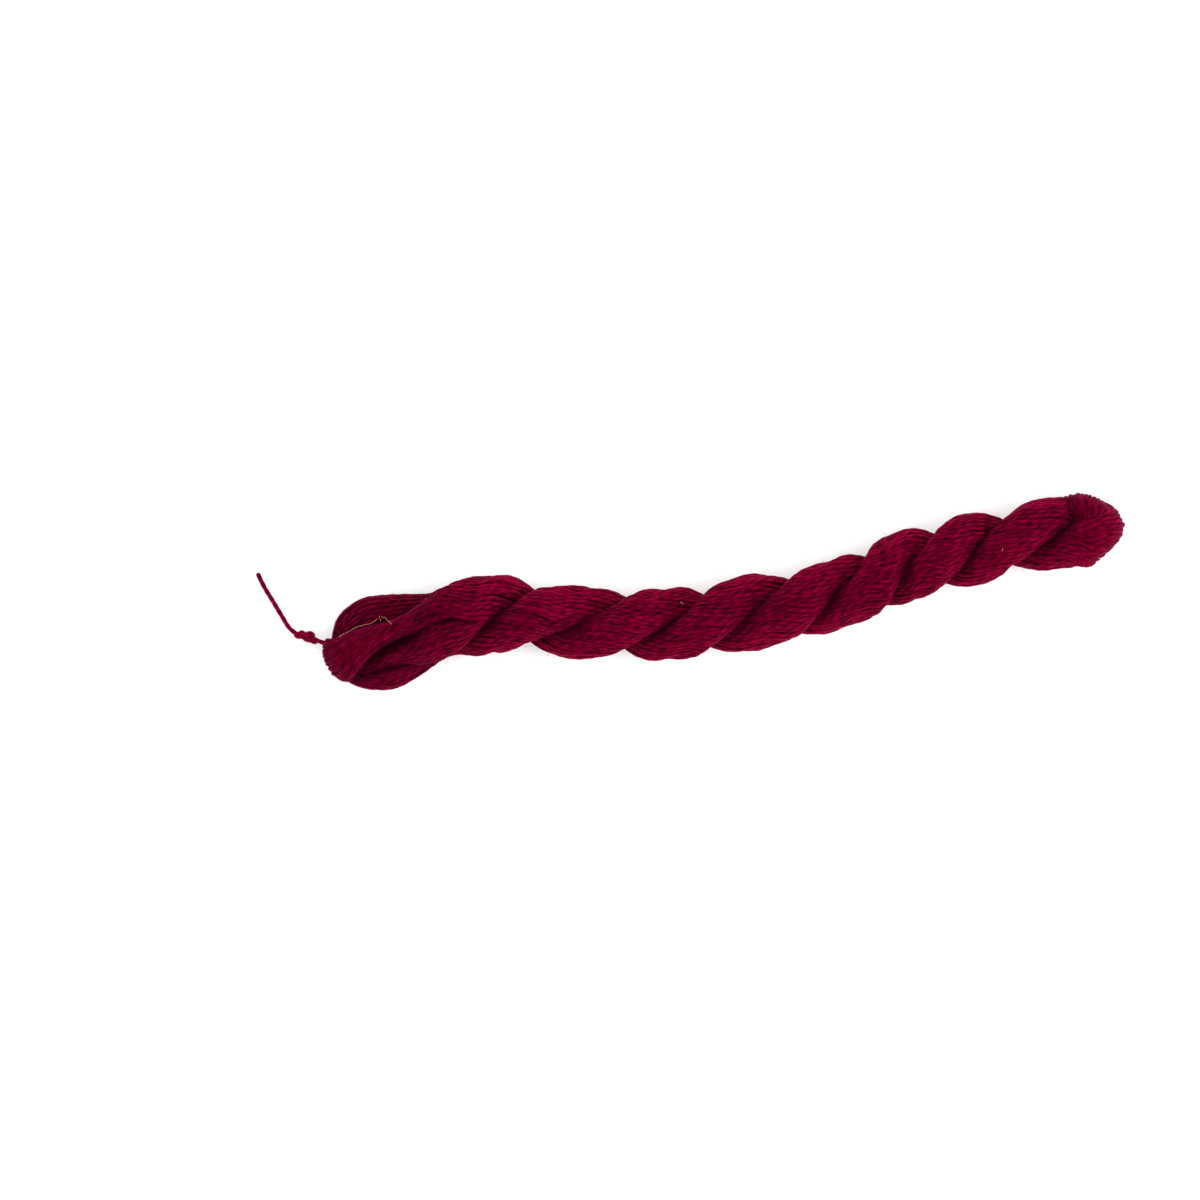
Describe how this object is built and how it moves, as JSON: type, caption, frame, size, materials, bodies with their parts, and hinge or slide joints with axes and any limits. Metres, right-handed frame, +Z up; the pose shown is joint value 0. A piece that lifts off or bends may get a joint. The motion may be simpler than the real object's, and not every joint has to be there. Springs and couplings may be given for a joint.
{
  "type": "skein of embroidery floss",
  "caption": "Twisted, folded skein of crimson embroidery floss lying flat, two thick plies wrapped round each other, with a knotted tie thread at the loop end.",
  "frame": {"origin": "on the surface the skein lies on, under the middle of its box", "axes": "+X along the skein from its loop end to its fold, +Y across it, +Z up from the surface"},
  "size_m": [0.2263, 0.0514, 0.0172],
  "materials": {
    "floss": "spun silky floss, deep crimson, soft sheen, slightly fuzzy",
    "tie_thread": "the same spun floss, one thread"
  },
  "bodies": {
    "root": {"skein": "floss", "tie": "tie_thread", "tie_knot": "tie_thread"}
  },
  "joints": []
}
